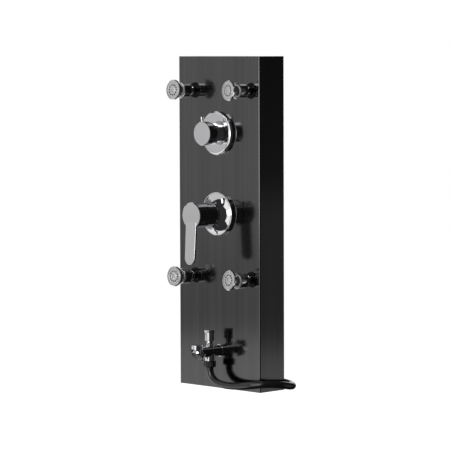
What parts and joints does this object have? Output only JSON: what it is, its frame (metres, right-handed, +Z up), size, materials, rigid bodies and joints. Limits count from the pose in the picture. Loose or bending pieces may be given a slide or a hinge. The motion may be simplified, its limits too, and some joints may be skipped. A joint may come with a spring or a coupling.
{
  "type": "shower column panel",
  "caption": "Wall-hung dark steel shower panel with single-lever mixer, outlet knob, swivel body jets, and a bath spout with pull-up diverter and hand-shower hose.",
  "frame": {"origin": "centre of the four wall-screw holes, on the wall plane", "axes": "+Z up, +Y into the wall, +X to the right as seen from the front; the panel faces -Y"},
  "size_m": [0.2675, 0.17, 0.64],
  "materials": {
    "panel_steel": "dark titanium-coated steel, fine vertical brushing",
    "bracket_steel": "zinc-plated",
    "chrome": "polished",
    "brass": "cast and machined",
    "gasket_rubber": "matt",
    "cartridge_plastic": "moulded acetal",
    "braided_hose": "stainless braid",
    "hose_black": "smooth glossy sleeve",
    "nut_black": "fluted",
    "hose_end_chrome": "polished",
    "strap_black": "woven hook-and-loop strap",
    "aerator_grey": "moulded insert"
  },
  "bodies": {
    "column": {"body_gaskets": "gasket_rubber", "bottom_end_plate": "panel_steel", "coil_strap": "strap_black", "diverter_body": "brass", "diverter_cartridge": "cartridge_plastic", "diverter_clamp_nut": "bracket_steel", "diverter_escutcheon": "chrome", "diverter_sleeve": "chrome", "hanging_rail_lower": "bracket_steel", "hanging_rail_upper": "bracket_steel", "hose_end_nut": "hose_end_chrome", "hose_nut": "nut_black", "hose_tie_rail": "bracket_steel", "jet_back_nuts": "bracket_steel", "jet_base_lower_left": "chrome", "jet_base_lower_right": "chrome", "jet_base_upper_left": "chrome", "jet_base_upper_right": "chrome", "jet_elbows": "brass", "jet_feed_hoses": "braided_hose", "jet_feed_tees": "brass", "jet_gaskets": "gasket_rubber", "mixer_body": "brass", "mixer_cartridge": "cartridge_plastic", "mixer_cartridge_nut": "brass", "mixer_clamp_nut": "bracket_steel", "mixer_escutcheon": "chrome", "mixer_hose": "braided_hose", "mixer_sleeve": "chrome", "panel_shell": "panel_steel", "riser_bush": "brass", "riser_hose": "braided_hose", "shower_hose_coil": "hose_black", "shower_hose_lead": "hose_black", "spout_aerator": "aerator_grey", "spout_back_nut": "bracket_steel", "spout_body": "chrome", "spout_elbow": "brass", "spout_gasket": "gasket_rubber", "spout_hose": "braided_hose", "top_end_plate": "panel_steel", "wall_bracket_lower": "bracket_steel", "wall_bracket_upper": "bracket_steel"},
    "mixer_carrier": {"mixer_rotor": "cartridge_plastic"},
    "lever": {"mixer_spindle": "brass", "mixer_lever": "chrome", "lever_set_screw": "bracket_steel"},
    "outlet_knob": {"diverter_knob": "chrome", "diverter_spindle": "brass", "knob_pin": "chrome"},
    "pull_diverter": {"pull_knob": "chrome", "pull_plunger": "brass"},
    "jet_pan_upper_left": {"jet_liner_upper_left": "cartridge_plastic"},
    "jet_aim_upper_left": {"jet_head_upper_left": "chrome"},
    "jet_pan_upper_right": {"jet_liner_upper_right": "cartridge_plastic"},
    "jet_aim_upper_right": {"jet_head_upper_right": "chrome"},
    "jet_pan_lower_left": {"jet_liner_lower_left": "cartridge_plastic"},
    "jet_aim_lower_left": {"jet_head_lower_left": "chrome"},
    "jet_pan_lower_right": {"jet_liner_lower_right": "cartridge_plastic"},
    "jet_aim_lower_right": {"jet_head_lower_right": "chrome"}
  },
  "joints": [
    {"name": "mixer_turn", "type": "hinge", "parent": "column", "child": "mixer_carrier", "pos_m": [0, -0.09, -0.0775], "axis": [0, 1, 0], "range_deg": [-45, 45]},
    {"name": "lever_lift", "type": "hinge", "parent": "mixer_carrier", "child": "lever", "pos_m": [0, -0.121, -0.0775], "axis": [-1, 0, 0], "range_deg": [0, 22]},
    {"name": "outlet_turn", "type": "hinge", "parent": "column", "child": "outlet_knob", "pos_m": [0, -0.09, 0.078], "axis": [0, 1, 0], "range_deg": [-82, 98]},
    {"name": "pull_up", "type": "slide", "parent": "column", "child": "pull_diverter", "axis": [0, 0, 1], "range_m": [0, 0.008]},
    {"name": "pan_upper_left", "type": "hinge", "parent": "column", "child": "jet_pan_upper_left", "pos_m": [-0.0765, -0.116, 0.1595], "axis": [0, 0, 1], "range_deg": [-20, 20]},
    {"name": "tilt_upper_left", "type": "hinge", "parent": "jet_pan_upper_left", "child": "jet_aim_upper_left", "pos_m": [-0.0765, -0.116, 0.1595], "axis": [-1, 0, 0], "range_deg": [-24, 16]},
    {"name": "pan_upper_right", "type": "hinge", "parent": "column", "child": "jet_pan_upper_right", "pos_m": [0.0765, -0.116, 0.1595], "axis": [0, 0, 1], "range_deg": [-12, 28]},
    {"name": "tilt_upper_right", "type": "hinge", "parent": "jet_pan_upper_right", "child": "jet_aim_upper_right", "pos_m": [0.0765, -0.116, 0.1595], "axis": [-0.9903, 0.1392, 0], "range_deg": [-23, 17]},
    {"name": "pan_lower_left", "type": "hinge", "parent": "column", "child": "jet_pan_lower_left", "pos_m": [-0.0765, -0.116, -0.201], "axis": [0, 0, 1], "range_deg": [-22, 18]},
    {"name": "tilt_lower_left", "type": "hinge", "parent": "jet_pan_lower_left", "child": "jet_aim_lower_left", "pos_m": [-0.0765, -0.116, -0.201], "axis": [-0.9994, -0.0349, 0], "range_deg": [-23, 17]},
    {"name": "pan_lower_right", "type": "hinge", "parent": "column", "child": "jet_pan_lower_right", "pos_m": [0.0765, -0.116, -0.201], "axis": [0, 0, 1], "range_deg": [-13, 27]},
    {"name": "tilt_lower_right", "type": "hinge", "parent": "jet_pan_lower_right", "child": "jet_aim_lower_right", "pos_m": [0.0765, -0.116, -0.201], "axis": [-0.9925, 0.1219, 0], "range_deg": [-27, 13]}
  ]
}
